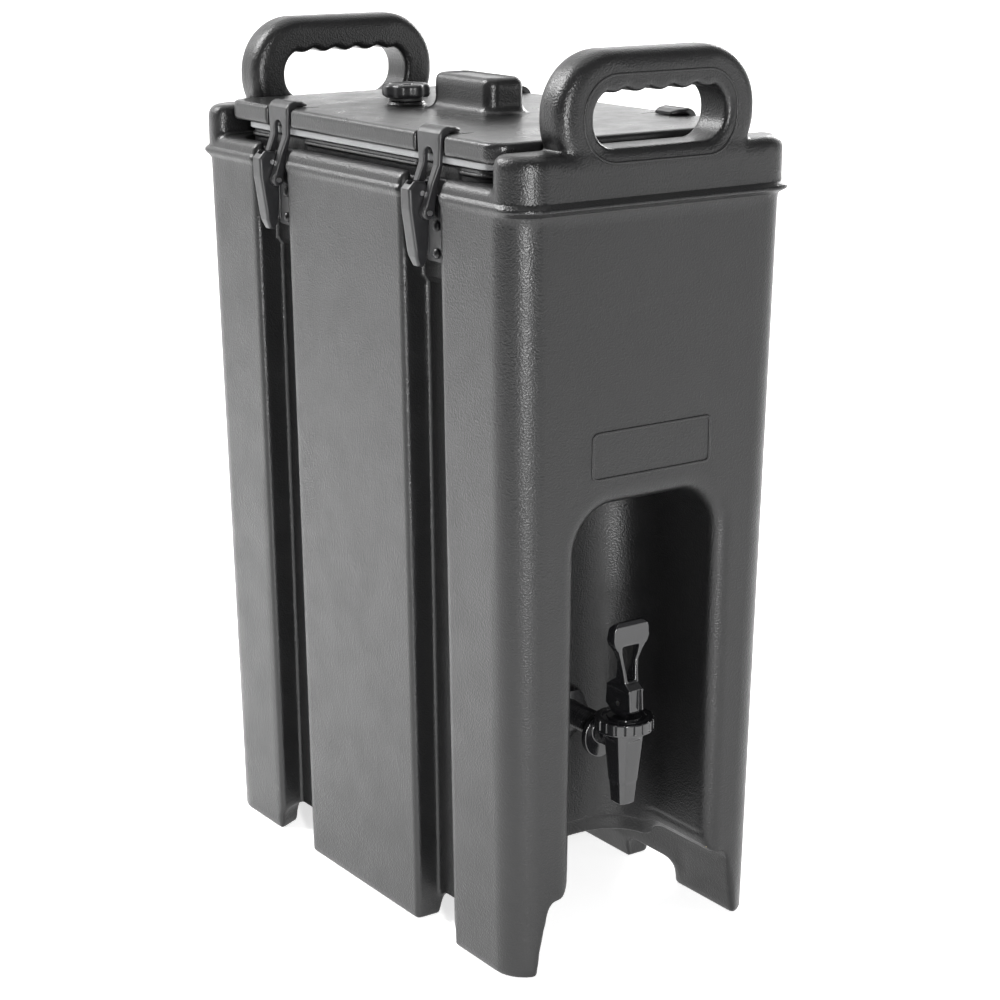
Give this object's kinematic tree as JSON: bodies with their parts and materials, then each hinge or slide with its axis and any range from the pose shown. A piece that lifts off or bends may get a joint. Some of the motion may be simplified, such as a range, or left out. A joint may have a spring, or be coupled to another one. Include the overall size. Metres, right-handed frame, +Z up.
{
  "type": "insulated beverage dispenser",
  "caption": "Tall narrow insulated drink dispenser with a lift-off latched lid, two arch handles, grooved sides, a vent cap and a sprung tap in a front alcove.",
  "frame": {"origin": "middle of the footprint at floor level", "axes": "+Z up, front face with the tap looks along -Y, +X to the right seen from the front"},
  "size_m": [0.248, 0.419, 0.616],
  "materials": {
    "shell": "satin, fine moulded grain",
    "foam": "closed-cell foam",
    "tank": "smooth moulded",
    "lid": "satin, fine moulded grain",
    "gasket": "matte",
    "latch": "satin",
    "pin": "satin",
    "tap": "gloss",
    "silicone": "matte",
    "washer": "matte",
    "steel": "satin",
    "nut": "matte"
  },
  "bodies": {
    "carrier": {"outer_shell": "shell", "foam_core": "foam", "tank": "tank", "tap_body": "tap", "tap_bonnet": "tap", "tap_spring": "steel", "tap_locknut": "tap", "wall_washer": "washer", "tank_washer": "washer", "tank_nut": "nut", "bracket_fl": "latch", "rivets_fl": "latch", "pivot_pin_fl": "pin", "bracket_bl": "latch", "rivets_bl": "latch", "pivot_pin_bl": "pin", "bracket_fr": "latch", "rivets_fr": "latch", "pivot_pin_fr": "pin", "bracket_br": "latch", "rivets_br": "latch", "pivot_pin_br": "pin"},
    "lid": {"lid_shell": "lid", "lid_foam": "foam", "lid_base": "lid", "lid_gasket": "gasket"},
    "vent_slider": {"vent_seal": "washer"},
    "vent_knob": {"vent_cap": "tap"},
    "tap_valve": {"tap_stem": "tap", "tap_cup": "silicone"},
    "tap_lever": {"tap_handle": "tap", "tap_pin": "pin"},
    "latch_fl": {"lever_fl": "latch", "hook_pin_fl": "pin"},
    "catch_fl": {"hook_fl": "latch"},
    "latch_bl": {"lever_bl": "latch", "hook_pin_bl": "pin"},
    "catch_bl": {"hook_bl": "latch"},
    "latch_fr": {"lever_fr": "latch", "hook_pin_fr": "pin"},
    "catch_fr": {"hook_fr": "latch"},
    "latch_br": {"lever_br": "latch", "hook_pin_br": "pin"},
    "catch_br": {"hook_br": "latch"}
  },
  "joints": [
    {"name": "lid_lift", "type": "slide", "parent": "carrier", "child": "lid", "axis": [0, 0, 1], "range_m": [0, 0.21]},
    {"name": "latch_fl_turn", "type": "hinge", "parent": "carrier", "child": "latch_fl", "pos_m": [-0.114, -0.097, 0.523], "axis": [0, 1, 0], "range_deg": [0, 115]},
    {"name": "latch_bl_turn", "type": "hinge", "parent": "carrier", "child": "latch_bl", "pos_m": [-0.114, 0.097, 0.523], "axis": [0, 1, 0], "range_deg": [0, 115]},
    {"name": "latch_fr_turn", "type": "hinge", "parent": "carrier", "child": "latch_fr", "pos_m": [0.114, -0.097, 0.523], "axis": [0, -1, 0], "range_deg": [0, 115]},
    {"name": "latch_br_turn", "type": "hinge", "parent": "carrier", "child": "latch_br", "pos_m": [0.114, 0.097, 0.523], "axis": [0, -1, 0], "range_deg": [0, 115]},
    {"name": "vent_rise", "type": "slide", "parent": "lid", "child": "vent_slider", "axis": [0, 0, 1], "range_m": [0, 0.0045]},
    {"name": "tap_lift", "type": "slide", "parent": "carrier", "child": "tap_valve", "axis": [0, 0, 1], "range_m": [0, 0.003], "deforming": ["tap_spring"]},
    {"name": "catch_fl_swing", "type": "hinge", "parent": "latch_fl", "child": "catch_fl", "pos_m": [-0.113, -0.097, 0.511], "axis": [0, 1, 0], "range_deg": [-156, 0]},
    {"name": "catch_bl_swing", "type": "hinge", "parent": "latch_bl", "child": "catch_bl", "pos_m": [-0.113, 0.097, 0.511], "axis": [0, 1, 0], "range_deg": [-156, 0]},
    {"name": "catch_fr_swing", "type": "hinge", "parent": "latch_fr", "child": "catch_fr", "pos_m": [0.113, -0.097, 0.511], "axis": [0, -1, 0], "range_deg": [-156, 0]},
    {"name": "catch_br_swing", "type": "hinge", "parent": "latch_br", "child": "catch_br", "pos_m": [0.113, 0.097, 0.511], "axis": [0, -1, 0], "range_deg": [-156, 0]},
    {"name": "vent_turn", "type": "hinge", "parent": "vent_slider", "child": "vent_knob", "pos_m": [-0.02, 0.062, 0.57], "axis": [0, 0, 1], "range_deg": [0, 540]},
    {"name": "tap_pull", "type": "hinge", "parent": "tap_valve", "child": "tap_lever", "pos_m": [0, -0.175, 0.175], "axis": [1, 0, 0], "range_deg": [0, 30], "stiffness_Nm_per_rad": 0.4, "springref_deg": -20.05}
  ],
  "couplings": [
    {"joint": "catch_fl_swing", "follows": "latch_fl_turn", "ratio": -1.35},
    {"joint": "catch_bl_swing", "follows": "latch_bl_turn", "ratio": -1.35},
    {"joint": "catch_fr_swing", "follows": "latch_fr_turn", "ratio": -1.35},
    {"joint": "catch_br_swing", "follows": "latch_br_turn", "ratio": -1.35},
    {"joint": "vent_turn", "follows": "vent_rise", "rad_per_m": 2094},
    {"joint": "tap_pull", "follows": "tap_lift", "rad_per_m": 174.5}
  ]
}
